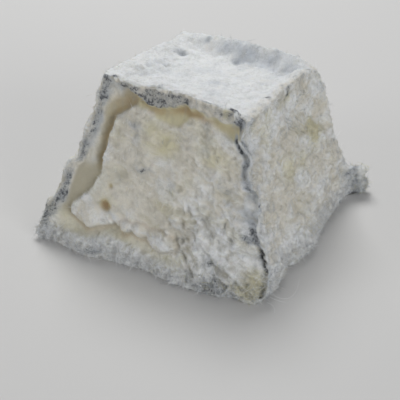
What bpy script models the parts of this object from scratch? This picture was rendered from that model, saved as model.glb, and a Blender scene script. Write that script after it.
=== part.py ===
import math

import bmesh
import bpy
import numpy as np
from mathutils import Vector, noise

# All sizes below are millimetres. MM turns them into metres as the mesh is written.
MM = 0.001

# The pyramid's eight corners. The front face looks to -Y and the right face to +X.
BASE_CORNERS = {
    "left": (-41.3, -41.9, 0.0),
    "near": (39.8, -41.2, 0.0),
    "right": (37.8, 39.4, 0.0),
    "back": (-40.0, 40.0, 0.0),
}
TOP_CORNERS = {
    "left": (-24.6, -23.6, 54.2),
    "near": (26.2, -25.3, 50.9),
    "right": (26.3, 24.7, 50.7),
    "back": (-24.1, 25.8, 52.6),
}

CELLS = 32  # grid cells along every edge
RIDGE_REACH = 5.0  # how far into a face a ridge's own shape carries
RIDGE_SWELL = 0.9  # ridges start this much proud, and the smoothing passes round them back
SMOOTHING, SMOOTHING_PASSES = 0.5, 2
SLANT = 1.04  # length up a side face for each unit of height
MEAN_WIDTH = 0.8  # a face's mean width as a share of its widest

# Each ridge's profile: share of the way from its first corner to its second, and its swell there.
LEFT_RIDGE = (
    (0.0, 0.0), (0.05, 0.6), (0.15, 0.0), (0.25, 0.8), (0.29, -1.2), (0.42, -0.6),
    (0.5, -0.4), (0.53, -3.3), (0.6, -2.2), (0.8, -1.9), (1.0, 0.3),
)
NEAR_RIDGE = (
    (0.0, 0.0), (0.08, 2.4), (0.2, 3.1), (0.33, 2.0), (0.4, 0.3), (0.6, 1.2),
    (0.7, -0.7), (0.82, -0.8), (0.9, -3.0), (1.0, -0.6),
)
RIGHT_RIDGE = (
    (0.0, 0.0), (0.23, 1.8), (0.35, 0.7), (0.49, -0.4), (0.67, 0.3), (0.76, 0.9),
    (0.9, 0.8), (1.0, 0.0),
)
BACK_RIDGE = ((0.0, 0.0), (0.2, 0.8), (0.45, -0.8), (0.7, -1.4), (0.85, 0.3), (1.0, 0.0))
FRONT_RIM = ((0.0, 0.0), (0.2, 0.3), (0.57, 2.0), (0.82, 1.7), (1.0, 0.0))
RIGHT_RIM = ((0.0, -0.5), (0.17, 0.1), (0.46, 1.7), (0.76, 1.8), (1.0, 0.0))
BACK_RIM = ((0.0, -1.5), (0.1, 1.6), (0.24, 2.6), (0.45, 2.6), (0.75, 2.0), (1.0, 0.0))
LEFT_RIM = ((0.0, 0.2), (0.12, -0.6), (0.3, 0.1), (0.55, 0.7), (0.8, 0.8), (1.0, 1.0))
FRONT_FOOT = (
    (0.0, 0.0), (0.08, -1.7), (0.15, -0.2), (0.26, 1.6), (0.34, 0.3), (0.52, -0.4),
    (0.6, 1.4), (0.74, 2.1), (0.85, 1.8), (0.93, 1.4), (1.0, 0.0),
)
RIGHT_FOOT = (
    (0.0, 0.0), (0.13, 2.3), (0.24, -0.4), (0.3, -0.3), (0.37, 2.3), (0.47, 2.7),
    (0.58, 1.1), (0.7, 0.3), (0.93, -0.4), (1.0, 0.0),
)
BACK_FOOT = ((0.0, 0.0), (0.2, 1.2), (0.4, -0.5), (0.65, 1.5), (0.85, -0.6), (1.0, 0.0))
LEFT_FOOT = ((0.0, 0.0), (0.15, -1.0), (0.4, 1.4), (0.6, 0.2), (0.8, 1.6), (1.0, 0.0))

# The front face's raised plate of rind: x across and height up the slant, from its top left.
PLATE_OUTLINE = (
    (-12.5, 53.2), (-14.2, 47.0), (-17.5, 42.0), (-18.6, 34.5), (-18.8, 28.0), (-22.6, 20.4),
    (-28.2, 14.6), (-26.6, 10.6), (-21.5, 8.4), (-16.8, 10.4), (-12.2, 12.6), (-7.6, 10.3),
    (0.0, 9.2), (5.6, 7.6), (10.4, 9.0), (13.0, 4.0), (46.0, -2.0), (30.0, 51.0),
    (23.6, 48.0), (17.0, 50.0), (11.0, 54.0), (7.4, 51.6), (3.4, 48.6), (0.8, 48.0),
    (-3.6, 50.0), (-8.0, 52.6),
)
PLATE_DEPTH = 1.1  # the plate lies this far behind the plane of its ridges
CHANNEL_DEPTH = 5.2  # the sunken channel round the plate, left and above
CREASE_DEPTH = 3.4  # the crease below the plate
CREASE_TOP = 14.0  # the channel becomes the crease below this height
PLATE_EDGE = 1.3  # half width of the step between plate and channel
LIP_WIDTH, LIP_FALL = 2.2, 2.2  # the rolled lip under the front rim, then its drop
SIDE_RUN = 9.0  # the left band of rind slopes in over this width
ROLL_HEIGHT, ROLL_FALL, ROLL_BULGE = 6.5, 3.0, 1.6  # the roll of rind along the foot
PITS = ((-17.0, 16.4, 1.9, 1.5), (-16.2, 23.2, 1.3, 0.9))  # x, up, radius, depth

# The right face's slumped fold, as y across and height up the slant.
FOLD_START, FOLD_END = (-8.0, 41.5), (26.0, 29.5)
FOLD_STEP, FOLD_WIDTH = 1.1, 2.5

SIDE_SAG = 1.5  # the plain faces sink this far inside their ridges
SIDE_RIM = 6.0  # width of the rim round the plain faces
TOP_RIM = 6.5  # width of the rim round the dished top
DISH_FRONT, DISH_BACK = 0.8, 3.0
DISH_START, DISH_LENGTH = -8.0, 24.0

# The ear of rind that sticks out at the right base corner.
EAR_REACH, EAR_WIDTH, EAR_TOP, EAR_SQUARENESS = 6.4, 3.6, 10.5, 4.0

ROUGH_SIZE, ROUGH_DEPTH = 9.0, 0.5  # gentle unevenness all over

RIND_COLOUR = (0.46, 0.44, 0.37, 1.0)
RIND_ROUGHNESS = 0.85


def clear_scene():
    for thing in list(bpy.data.objects):
        bpy.data.objects.remove(thing, do_unlink=True)


def smooth_step(value):
    value = np.clip(value, 0.0, 1.0)
    return value * value * (3.0 - 2.0 * value)


def swell_along(profile, share):
    shares, swells = zip(*profile)
    return np.interp(share, shares, swells)


def outline_distance(outline, across, up):
    # Distance to a closed outline, negative inside it.
    nearest = np.full(across.shape, np.inf)
    inside = np.zeros(across.shape, bool)
    for (ax, ay), (bx, by) in zip(outline, outline[1:] + outline[:1]):
        dx, dy = bx - ax, by - ay
        share = np.clip(((across - ax) * dx + (up - ay) * dy) / (dx * dx + dy * dy), 0.0, 1.0)
        nearest = np.minimum(nearest, np.hypot(across - ax - share * dx, up - ay - share * dy))
        if dy:
            crossing = ax + (up - ay) * dx / dy
            inside ^= ((ay > up) != (by > up)) & (across < crossing)
    return np.where(inside, -nearest, nearest)


def corner_table():
    # The corners in the cube's own order: x, y and z each 0 or 1.
    places = {"left": (0, 0), "near": (1, 0), "right": (1, 1), "back": (0, 1)}
    table = np.zeros((2, 2, 2, 3))
    for name, (i, j) in places.items():
        table[i, j, 0] = BASE_CORNERS[name]
        table[i, j, 1] = TOP_CORNERS[name]
    return table


def spread_over_corners(cube):
    # Turns cube coordinates into places in the pyramid, straight edges and flat faces.
    table = corner_table()
    share = (cube + 1.0) / 2.0
    place = np.zeros_like(cube)
    for i in (0, 1):
        for j in (0, 1):
            for k in (0, 1):
                weight = np.prod(np.where((i, j, k), share, 1.0 - share), axis=1)
                place += weight[:, None] * table[i, j, k]
    return place


def ridge_list():
    # Start corner, end corner, direction that the profile swells in, and profile.
    base, top = BASE_CORNERS, TOP_CORNERS
    slant = math.sqrt(0.5)
    up = (0.0, 0.0, 1.0)
    return (
        (base["left"], top["left"], (-slant, -slant, 0), LEFT_RIDGE),
        (base["near"], top["near"], (slant, slant, 0), NEAR_RIDGE),
        (base["right"], top["right"], (slant, slant, 0), RIGHT_RIDGE),
        (base["back"], top["back"], (-slant, slant, 0), BACK_RIDGE),
        (top["left"], top["near"], up, FRONT_RIM),
        (top["near"], top["right"], up, RIGHT_RIM),
        (top["right"], top["back"], up, BACK_RIM),
        (top["back"], top["left"], up, LEFT_RIM),
        (base["left"], base["near"], (0, -1, 0), FRONT_FOOT),
        (base["near"], base["right"], (1, 0, 0), RIGHT_FOOT),
        (base["right"], base["back"], (0, 1, 0), BACK_FOOT),
        (base["back"], base["left"], (-1, 0, 0), LEFT_FOOT),
    )


def from_middle(place):
    # Unit vectors out from the middle of the pyramid.
    outward = place - np.array((0.0, 0.0, TOP_CORNERS["near"][2] / 2))
    return outward / np.linalg.norm(outward, axis=1)[:, None]


def ridge_swell(place):
    total = np.zeros_like(place)
    nearest = np.full(len(place), np.inf)
    for start, end, direction, profile in ridge_list():
        start, end = np.array(start), np.array(end)
        run = end - start
        share = np.clip((place - start) @ run / (run @ run), 0.0, 1.0)
        on_ridge = start + share[:, None] * run
        gap = np.linalg.norm(place - on_ridge, axis=1)
        reach = np.exp(-((gap / RIDGE_REACH) ** 2))
        total += (swell_along(profile, share) * reach)[:, None] * np.array(direction)
        nearest = np.minimum(nearest, gap)
    # Every ridge is proud of the pyramid by the same amount, to allow for the rounding.
    return total + RIDGE_SWELL * np.exp(-(nearest**2))[:, None] * from_middle(place)


def front_depth(across, up, from_left, from_right, from_top, from_foot):
    beyond = outline_distance(PLATE_OUTLINE, across, up)
    channel = CREASE_DEPTH + (CHANNEL_DEPTH - CREASE_DEPTH) * smooth_step((up - CREASE_TOP) / 6.0)
    on_plate = smooth_step((PLATE_EDGE - beyond) / (2 * PLATE_EDGE))
    depth = channel + (PLATE_DEPTH - channel) * on_plate
    for x, height, radius, pit in PITS:
        depth = depth + pit * np.exp(-(((across - x) ** 2 + (up - height) ** 2) / radius**2))
    lip = CHANNEL_DEPTH * smooth_step((from_top - LIP_WIDTH) / LIP_FALL)
    side = CHANNEL_DEPTH * smooth_step(from_left / SIDE_RUN)
    near = CHANNEL_DEPTH * smooth_step(from_right / SIDE_RUN)
    roll = CHANNEL_DEPTH * smooth_step((from_foot - ROLL_HEIGHT) / ROLL_FALL)
    depth = np.minimum.reduce((depth, lip, side, near, roll))
    on_roll = np.sin(math.pi * np.clip(from_foot / (ROLL_HEIGHT + ROLL_FALL), 0.0, 1.0))
    return depth - ROLL_BULGE * on_roll * smooth_step(from_left / 6.0) * smooth_step(from_right / 6.0)


def right_depth(across, up, *edges):
    (ax, ay), (bx, by) = FOLD_START, FOLD_END
    length = math.hypot(bx - ax, by - ay)
    above = ((bx - ax) * (up - ay) - (by - ay) * (across - ax)) / length
    fold = FOLD_STEP * smooth_step(above / FOLD_WIDTH) * smooth_step((14.0 - above) / 10.0)
    return (0.4 + fold) * smooth_step(np.minimum.reduce(edges) / SIDE_RIM)


def plain_depth(across, up, *edges):
    return SIDE_SAG * smooth_step(np.minimum.reduce(edges) / SIDE_RIM)


def dish_depth(across, back, *edges):
    floor = DISH_FRONT + (DISH_BACK - DISH_FRONT) * smooth_step((back - DISH_START) / DISH_LENGTH)
    return floor * smooth_step(np.minimum.reduce(edges) / TOP_RIM)


def face_relief(cube, place):
    # Sinks each face along its own normal. Edges keep their place, so the faces stay joined.
    share = (cube + 1.0) / 2.0
    total = np.zeros_like(place)
    faces = (
        # Axis and side of the cube, axis across, axis up, start and end corners' sides, depth function.
        (1, -1, 0, 2, front_depth),
        (0, 1, 1, 2, right_depth),
        (1, 1, 0, 2, plain_depth),
        (0, -1, 1, 2, plain_depth),
        (2, 1, 0, 1, dish_depth),
    )
    for axis, side, across, up, depth_of in faces:
        on_face = cube[:, axis] == side
        points, shares = place[on_face], share[on_face]
        centred = points - points.mean(0)
        normal = np.linalg.svd(centred, full_matrices=False)[2][2]
        if normal[axis] * side < 0:
            normal = -normal
        stretch = SLANT if up == 2 else 1.0
        rise = points[:, up] * stretch
        width = np.ptp(points[:, across]) * MEAN_WIDTH
        height = np.ptp(rise)
        from_start, from_foot = shares[:, across] * width, shares[:, up] * height
        edges = (from_start, width - from_start, height - from_foot, from_foot)
        depth = depth_of(points[:, across], rise, *edges)
        total[on_face] -= depth[:, None] * normal
    return total


def ear_shift(place):
    corner = np.array(BASE_CORNERS["right"])
    outward = np.array((math.sqrt(0.5), math.sqrt(0.5), 0.0))
    sideways = np.array((-math.sqrt(0.5), math.sqrt(0.5), 0.0))
    aside = (place - corner) @ sideways
    height = place[:, 2] / EAR_TOP
    pull = np.exp(-((aside / EAR_WIDTH) ** 2)) * smooth_step(EAR_SQUARENESS * (1.0 - height))
    near_corner = ((place - corner) @ outward) > -2.0 * EAR_WIDTH
    return (EAR_REACH * pull * near_corner)[:, None] * outward


def roughness(place, rest):
    # Uneven all over but along the foot, which stays on its outline.
    amounts = [noise.noise(Vector(point) / ROUGH_SIZE) for point in rest]
    rising = smooth_step(rest[:, 2] / 5.0)
    return ROUGH_DEPTH * (np.array(amounts) * rising)[:, None] * from_middle(place)


def rind_grid():
    # A cube cut into an even grid, whose faces become the pyramid's faces.
    bm = bmesh.new()
    bmesh.ops.create_cube(bm, size=2.0)
    bmesh.ops.subdivide_edges(bm, edges=bm.edges[:], cuts=CELLS - 1, use_grid_fill=True)
    return bm


def flatten_underside(bm):
    # One flat face to stand on.
    under = [face for face in bm.faces if all(vert.co.z < 1e-6 for vert in face.verts)]
    bmesh.ops.dissolve_faces(bm, faces=under, use_verts=True)


def shape_rind(bm):
    bm.verts.ensure_lookup_table()
    cube = np.array([vert.co for vert in bm.verts])
    cube = np.round(cube, 5)
    rest = spread_over_corners(cube)
    place = rest + ridge_swell(rest) + face_relief(cube, rest) + ear_shift(rest)
    place += roughness(place, rest)
    for vert, point in zip(bm.verts, place):
        vert.co = point
    every_axis = {"use_axis_x": True, "use_axis_y": True, "use_axis_z": True}
    for _ in range(SMOOTHING_PASSES):
        bmesh.ops.smooth_vert(bm, verts=bm.verts[:], factor=SMOOTHING, **every_axis)
    for vert, start in zip(bm.verts, cube):
        vert.co.z = 0.0 if start[2] == -1 else max(vert.co.z, 0.3)
        vert.co *= MM


def rind_material():
    material = bpy.data.materials.new("ash_rind")
    material.use_nodes = True
    shader = material.node_tree.nodes["Principled BSDF"]
    shader.inputs["Base Color"].default_value = RIND_COLOUR
    shader.inputs["Roughness"].default_value = RIND_ROUGHNESS
    shader.inputs["Metallic"].default_value = 0.0
    return material


def build_pyramid(collection):
    bm = rind_grid()
    shape_rind(bm)
    flatten_underside(bm)
    bmesh.ops.triangulate(bm, faces=bm.faces[:])
    bmesh.ops.recalc_face_normals(bm, faces=bm.faces[:])
    mesh = bpy.data.meshes.new("goat_cheese")
    bm.to_mesh(mesh)
    bm.free()
    mesh.shade_smooth()
    mesh.materials.append(rind_material())
    pyramid = bpy.data.objects.new("goat_cheese", mesh)
    collection.objects.link(pyramid)
    return pyramid


def main():
    clear_scene()
    collection = bpy.data.collections.new("goat_cheese_pyramid")
    bpy.context.scene.collection.children.link(collection)
    build_pyramid(collection)


main()
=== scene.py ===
import math

import bpy
import numpy as np
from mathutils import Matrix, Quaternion, Vector, noise


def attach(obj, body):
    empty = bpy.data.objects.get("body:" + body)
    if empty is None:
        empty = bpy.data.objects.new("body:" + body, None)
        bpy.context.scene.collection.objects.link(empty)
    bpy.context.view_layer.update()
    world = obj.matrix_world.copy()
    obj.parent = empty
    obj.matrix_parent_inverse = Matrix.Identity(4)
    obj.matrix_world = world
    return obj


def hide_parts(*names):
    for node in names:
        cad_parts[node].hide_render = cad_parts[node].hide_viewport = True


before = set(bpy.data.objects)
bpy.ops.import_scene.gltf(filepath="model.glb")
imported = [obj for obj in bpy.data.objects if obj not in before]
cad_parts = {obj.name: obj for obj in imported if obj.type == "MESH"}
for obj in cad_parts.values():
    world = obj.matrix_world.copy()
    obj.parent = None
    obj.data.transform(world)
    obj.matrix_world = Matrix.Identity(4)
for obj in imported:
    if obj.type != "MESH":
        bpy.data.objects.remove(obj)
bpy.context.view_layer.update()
print("frame loaded:", sorted(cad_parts))

# Shapes are worked out in millimetres, and mm turns them into metres as a mesh is written.
mm = 0.001

# Lengths in millimetres.
rind = {
    "cells": 140,
    "baseCorners": ((-41.3, -41.9, 0), (39.8, -41.2, 0), (37.8, 39.4, 0), (-40, 40, 0)),
    "topCorners": ((-24.6, -23.6, 54.2), (26.2, -25.3, 50.9), (26.3, 24.7, 50.7), (-24.1, 25.8, 52.6)),
    "ridgeReach": 4.2,
    "footReach": 9,
    # How far the foot draws in where it meets the table, in front, right, behind and left.
    "undercuts": (1, 2.1, 1.6, 1.6),
    "undercutHeight": 2.2,
    "ridgeProud": 0.8,
    "ridgeWear": (1.3, 1.2, 4, 3.5),  # left, near, right and back
    "rimWear": (1.2, 5.5, 4, 3.6),  # front, right, back and left
    "footWear": 1.2,
    "sharpWear": 1.5,  # ridges worn further than this are soft
    "sharpReach": 4,  # how far from a sharp ridge a soft one is worn less
    "wearPasses": (12, 110),  # over sharp ridges and over soft ones
    # The left front corner of the top is worn round and pushed in.
    "cornerWear": 3.6,
    "bluntReach": 1.8,
    "blunt": 1.3,
    "bluntWay": (0.62, 0.5, -0.6),
    "crumble": 0.6,  # how ragged the ridges are, and the rims of the top
    "topCrumble": 0.28,
    "crumbleReach": 1.5,
    "slant": 1.04,  # length up a side face for each unit of height
    "meanWidth": 0.8,
    "borderBlend": 0.9,
    "sag": 1.5,
    "sagRim": 6,
    "clearance": 0.12,  # between the table and all but the underside
}

# How far each ridge, rim and foot swells out, by its share of the length.
ridgeProfiles = {
    "left": (
        (0, 0), (0.05, 0.6), (0.15, 0), (0.25, 0.9), (0.275, -1.2), (0.35, -0.9), (0.42, -0.6),
        (0.495, -0.3), (0.515, -3.3), (0.6, -2.2), (0.7, -1.6), (0.8, -2.2), (0.9, -1), (1, 0.3),
    ),
    "near": (
        (0, 0), (0.08, 2.4), (0.2, 3.1), (0.33, 2), (0.4, 0.3), (0.48, 0.9), (0.6, 1.4),
        (0.66, -0.5), (0.74, -1.1), (0.8, -0.2), (0.9, -3.2), (1, -0.8),
    ),
    "right": (
        (0, 0), (0.23, 1.8), (0.34, 0.6), (0.49, -0.5), (0.67, 0.2), (0.75, 1), (0.77, 0.1),
        (0.88, 0.8), (1, 0),
    ),
    "back": (
        (0, 0), (0.2, 0.8), (0.32, -0.5), (0.45, -0.9), (0.6, 0.2), (0.7, -1.6), (0.85, 0.3), (1, 0),
    ),
    "frontRim": ((0, 0), (0.2, 0.2), (0.46, 1.4), (0.57, 2.1), (0.68, 1.5), (0.9, 1.5), (1, 0)),
    "rightRim": ((0, -0.5), (0.17, 0.1), (0.46, 1.8), (0.62, 1.2), (0.76, 1.9), (1, 0)),
    "backRim": (
        (0, -1.5), (0.1, 1.6), (0.24, 2.2), (0.29, 3.4), (0.36, 2.4), (0.6, 2.5), (0.75, 2), (1, 0),
    ),
    "leftRim": ((0, 0.2), (0.12, -0.6), (0.3, 0.1), (0.55, 0.7), (0.8, 0.8), (1, 1)),
    "frontFoot": (
        (0, 0), (0.08, -1.7), (0.15, -0.2), (0.26, 1.6), (0.34, 0.3), (0.52, -0.4), (0.6, 1.4),
        (0.74, 2.1), (0.85, 1.8), (0.885, 0), (0.94, 1.4), (1, 0),
    ),
    "rightFoot": (
        (0, 0), (0.13, 2.3), (0.18, 1.6), (0.24, -0.4), (0.3, -0.5), (0.34, 1.9), (0.47, 2.7),
        (0.58, 1.1), (0.7, 0.3), (0.93, -0.4), (1, 0),
    ),
    "backFoot": ((0, 0), (0.2, 1.2), (0.4, -0.5), (0.65, 1.5), (0.85, -0.6), (1, 0)),
    "leftFoot": ((0, 0), (0.15, -1), (0.4, 1.4), (0.6, 0.2), (0.8, 1.6), (1, 0)),
}

# The raised plate of rind on the front face, and the gully, lip and roll round it. Places are x
# and the height up the slant.
plate = {
    "outline": (
        (-14, 48.8), (-15.2, 47.4), (-17.4, 46.4), (-19.2, 44.2), (-19.9, 41.8), (-20.5, 39),
        (-20.8, 36.4), (-20.8, 33.8), (-21.6, 31), (-21.2, 29.4), (-21.2, 25.8), (-23, 22.1),
        (-25.4, 18.8), (-28.6, 16.4), (-30.2, 14.9), (-30.7, 13.2), (-30.2, 11.6), (-28.4, 10.2),
        (-25.8, 8.9), (-22.6, 8.2), (-20.2, 8.8), (-18.2, 9.8), (-16, 11.2), (-13.8, 11.8),
        (-12, 11), (-10.6, 9.8), (-8.8, 9.4), (-7, 10.4), (-5.4, 9.4), (-3.2, 9), (-1.4, 9.8),
        (0.2, 8.6), (2.6, 7.4), (5.4, 7), (8.6, 7.4), (11.2, 8.4), (12.4, 10.4), (14, 8),
        (15.6, 2), (46, -2), (30, 51), (24.4, 46.8), (20.6, 47.4), (17.6, 48.2), (14.6, 49.6),
        (11.4, 51.4), (9.4, 50.6), (6, 48.8), (3.2, 46.8), (0.4, 46.2), (-2.4, 47.2), (-5.2, 48.4),
        (-8.2, 49.6), (-11.5, 49.8),
    ),
    "depth": 1.3,
    "pillow": 0.9,
    "pillowRun": 10,
    # How softly and how steeply the plate ends at the left gully, under the rim and above the roll.
    "edges": (1, 1.7, 0.5),
    "edgeDrops": (1.2, 0.5, 1),
    "edgeRadius": 1.4,
    "channelDepth": 3.9,
    "creaseDepth": 3.2,
    "creaseTop": 26,
    "creaseGroove": 0.7,
    "rimWidth": 2.6,
    # Width of the ragged lip under the front rim, from left to right.
    "lipWidths": (
        (-24, 1.2), (-16, 2.2), (-12, 3.2), (-8, 4.9), (-4, 4.9), (0, 4.3), (5, 3.2),
        (9, 3), (14, 4), (18, 3.9), (22, 2.8), (26, 2),
    ),
    "lipFall": 1.5,
    # How high the roll along the foot reaches, from left to right.
    "rollHeights": (
        (-40, 6.8), (-28, 7), (-21.5, 7.2), (-18.6, 8.2), (-16, 9.4), (-13, 9.6), (-6.4, 8.3),
        (-2.4, 7.3), (3.2, 5.8), (9, 6), (14, 6.6), (40, 6.6),
    ),
    "rollBulge": 1.6,
    "rollCrease": 3.3,
    "lobe": (-20.5, 16.5, 6.5, 0.9),  # x, up, radius, height
    "pits": ((-17.2, 16.8, 1.7, 1.6), (-16.2, 23.2, 1, 0.7)),  # x, up, radius, depth
    # The curls and beads of cheese along the plate's lower edge: x, up, radius, height.
    "beads": (
        (-9.2, 11.6, 1.8, 1.5), (-4.2, 11.7, 2.2, 1.7), (1.6, 10.5, 2.4, 1.3), (4.8, 10.2, 2.6, 1.5),
        (7.8, 10.6, 2, 1.2),
    ),
}

# The slumped fold on the right face, the hollow of the top, and the ear at the right base corner.
fold = {"start": (-8, 41.5), "end": (26, 29.5), "step": 1.7, "width": 3}
dish = {"rim": 6.2, "front": 0.9, "back": 3.2, "start": -8, "length": 24}
ear = {"reach": 6, "width": 3.2, "top": 11, "squareness": 7, "neck": 1.1}


def smoothStep(value):
    value = np.clip(value, 0, 1)
    return value * value * (3 - 2 * value)


def rise(value, start, length):
    # 0 up to start and 1 from a length further on.
    return smoothStep((value - start) / length)


def fall(value, end, length):
    # 1 up to a length before end, and 0 from end on.
    return smoothStep((end - value) / length)


def bump(distance, radius):
    return np.exp(-((distance / radius) ** 2))


def grain(points, size, seed, stretch=(1, 1)):
    # Smooth noise between about -1 and 1, one value a point. Size is its grain in millimetres.
    shifted = points / (size * np.array((*stretch, 1))) + np.array((17.3, 9.1, 4.7)) * seed
    return 1.6 * np.array([noise.noise(point) for point in shifted.tolist()])


def clumps(points, size, seed, stretch=(1, 1)):
    # Round lumps packed side by side, 1 at their tops and about 0 in the creases between them.
    shifted = points / (size * np.array((*stretch, 1))) + np.array((3.1, 12.7, 8.9)) * seed
    nearest = np.array([noise.voronoi(point)[0][0] for point in shifted.tolist()])
    return 1 - np.clip(nearest * 1.15, 0, 1) ** 2


def folds(points, size, seed, stretch=(1, 1)):
    # Sharp crests, 1 on their lines and falling away on both sides.
    return 1 - 2 * np.abs(grain(points, size, seed, stretch))


def clumpsOnClumps(points, broad, fine):
    # Each is a size, a seed and a stretch.
    return clumps(points, *broad) + 0.5 * clumps(points, *fine)


def warp(flat, amount):
    # A soft shift, so that rows of clumps don't run straight.
    return amount * np.stack((grain(flat, 5, 46), grain(flat, 5, 47), np.zeros(len(flat))), 1)


def unit(rows):
    return rows / np.linalg.norm(rows, axis=1)[:, None]


def alongProfile(profile, share):
    shares, swells = zip(*profile)
    return np.interp(share, shares, swells)


def outlineDistance(outline, across, up):
    # Distance to a closed outline, negative inside it.
    nearest = np.full(across.shape, np.inf)
    inside = np.zeros(across.shape, bool)
    for (ax, ay), (bx, by) in zip(outline, outline[1:] + outline[:1]):
        dx, dy = bx - ax, by - ay
        share = np.clip(((across - ax) * dx + (up - ay) * dy) / (dx * dx + dy * dy), 0, 1)
        nearest = np.minimum(nearest, np.hypot(across - ax - share * dx, up - ay - share * dy))
        if dy:
            crossing = ax + (up - ay) * dx / dy
            inside ^= ((ay > up) != (by > up)) & (across < crossing)
    return np.where(inside, -nearest, nearest)


def fromMiddle(place):
    return unit(place - np.array((0, 0, rind["topCorners"][1][2] / 2)))


def spreadOverCorners(cube):
    # Cube coordinates become places in the pyramid.
    share = (cube + 1) / 2
    place = np.zeros_like(cube)
    for level, corners in enumerate((rind["baseCorners"], rind["topCorners"])):
        for corner, (right, back) in zip(corners, ((0, 0), (1, 0), (1, 1), (0, 1))):
            weight = np.prod(np.where((right, back, level), share, 1 - share), axis=1)
            place += weight[:, None] * np.array(corner)
    return place


def ridgeList():
    # Start corner, end corner, the direction that the profile swells in, the profile, how far the
    # ridge is worn round, and how far its foot draws in.
    base, top = rind["baseCorners"], rind["topCorners"]
    slant = math.sqrt(0.5)
    outward = ((-slant, -slant, 0), (slant, slant, 0), (slant, slant, 0), (-slant, slant, 0))
    footward = ((0, -1, 0), (1, 0, 0), (0, 1, 0), (-1, 0, 0))
    # The ridge at each corner of the base, and the face to its right.
    names = (("left", "front"), ("near", "right"), ("right", "back"), ("back", "left"))
    for i, (ridge, face) in enumerate(names):
        after = (i + 1) % 4
        rim, foot = ridgeProfiles[face + "Rim"], ridgeProfiles[face + "Foot"]
        yield base[i], top[i], outward[i], ridgeProfiles[ridge], rind["ridgeWear"][i], 0
        yield top[i], top[after], (0, 0, 1), rim, rind["rimWear"][i], 0
        yield base[i], base[after], footward[i], foot, rind["footWear"], rind["undercuts"][i]


def ridgeSwell(place):
    total = np.zeros_like(place)
    nearest = np.full(len(place), np.inf)
    worn = np.zeros((2, len(place)))
    sharpest = np.full(len(place), np.inf)
    for start, end, direction, profile, wear, undercut in ridgeList():
        start, end = np.array(start), np.array(end)
        run = end - start
        share = np.clip((place - start) @ run / (run @ run), 0, 1)
        gap = np.linalg.norm(place - start - share[:, None] * run, axis=1)
        spread = rind["footReach"] if undercut else rind["ridgeReach"]
        swell = alongProfile(profile, share) * bump(gap, spread)
        swell -= undercut * bump(gap, rind["undercutHeight"])
        total += swell[:, None] * np.array(direction)
        nearest = np.minimum(nearest, gap)
        soft = wear > rind["sharpWear"]
        worn[int(soft)] = np.maximum(worn[int(soft)], bump(gap, wear))
        sharpest = sharpest if soft else np.minimum(sharpest, gap)
    # A sharp ridge isn't worn by the soft one that it meets.
    worn[1] *= smoothStep(sharpest / rind["sharpReach"])
    cornerGap = np.linalg.norm(place - np.array(rind["topCorners"][0]), axis=1)
    worn[1] = np.maximum(worn[1], bump(cornerGap, rind["cornerWear"]))
    total += rind["blunt"] * bump(cornerGap, rind["bluntReach"])[:, None] * np.array(rind["bluntWay"])
    proud = rind["ridgeProud"] * bump(nearest, 1)[:, None] * fromMiddle(place)
    return total + proud, nearest, worn


def earShift(place):
    corner = np.array(rind["baseCorners"][2])
    outward = np.array((math.sqrt(0.5), math.sqrt(0.5), 0))
    sideways = np.array((-outward[0], outward[1], 0))
    aside = np.abs((place - corner) @ sideways)
    below = smoothStep(ear["squareness"] * (1 - place[:, 2] / ear["top"]))
    pull = np.exp(-((aside / ear["width"]) ** 4)) * below
    atCorner = ((place - corner) @ outward) > -2 * ear["width"]
    pull *= atCorner
    # The ear's neck is drawn in towards its own axis.
    neck = ear["neck"] * bump(pull - 0.45, 0.3) * atCorner * (pull > 0.02)
    inward = -sideways * np.sign((place - corner) @ sideways)[:, None] * neck[:, None]
    return (ear["reach"] * pull)[:, None] * outward + inward, pull, neck / ear["neck"]


def spots(across, up, places):
    # A sum of soft round spots, each across, up, radius and strength.
    total = np.zeros_like(across)
    for x, height, radius, strength in places:
        total += strength * bump(np.hypot(across - x, up - height), radius)
    return total


# The dark broken line beside the near ridge: height up the slant, and how far left of the ridge.
nearLine = (
    (0, 1), (4, 1.1), (10, 0.9), (15, 0.8), (19, 1.6), (22, 1.2), (26, 0.9), (31, 1.1),
    (34, 1.8), (38.5, 2.4), (42, 1.9), (44, 3.2), (46.5, 4), (50, 3.8), (53, 2.4),
)

foldSlope = math.radians(36)  # of the folds of mould low on the front face

# Soft round spots of colour on each face: across, up, radius and strength.
frontMarks = {
    "yellow": (
        (1.2, 40, 4.5, 0.7), (17.2, 39, 3.5, 0.4), (24, 38, 3, 0.3), (-5.6, 43.8, 3.5, 0.6),
        (18.7, 52, 1.2, 1.3), (22.9, 47.8, 2, 0.8), (35.5, 4, 3.5, 1), (34.5, 9, 2.5, 0.5),
        (22, 30, 4, 0.1), (-36.5, 12, 2.5, 0.7), (5, 24, 5, 0.25), (10, 31, 3, 0.3),
    ),
    "ash": (
        (-10.5, 42.5, 2.8, 0.5), (-6.4, 30.8, 3.4, 0.5), (4.6, 28.2, 3, 0.45), (14.3, 40.8, 2.8, 0.5),
        (21.6, 31.2, 3.2, 0.5), (13, 47.5, 2.6, 0.5), (6.3, 47.2, 1.8, 0.45), (18, 22, 3.4, 0.35),
        (27, 16, 3.6, 0.4), (22, 9, 3.4, 0.45), (-14.6, 50.6, 1.2, 0.4), (8, 16, 3, 0.3),
        (-39.2, 9, 2.6, 0.8), (-40.5, 5, 1.8, 0.4), (-37.5, 12.5, 2, 0.5), (10.5, 13, 2, 0.4),
        (24.6, 43, 2, 0.45), (24.5, 4.5, 3.2, 0.5),
    ),
    "dark": ((24.8, 50.8, 0.7, 0.7), (28.4, 41.6, 0.6, 0.7), (38, 2.2, 0.6, 0.9)),
    "warm": ((-15.5, 49.5, 2.4, 1), (-19, 48, 2.6, 0.5), (-21, 41, 2, 0.4)),
}
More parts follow.
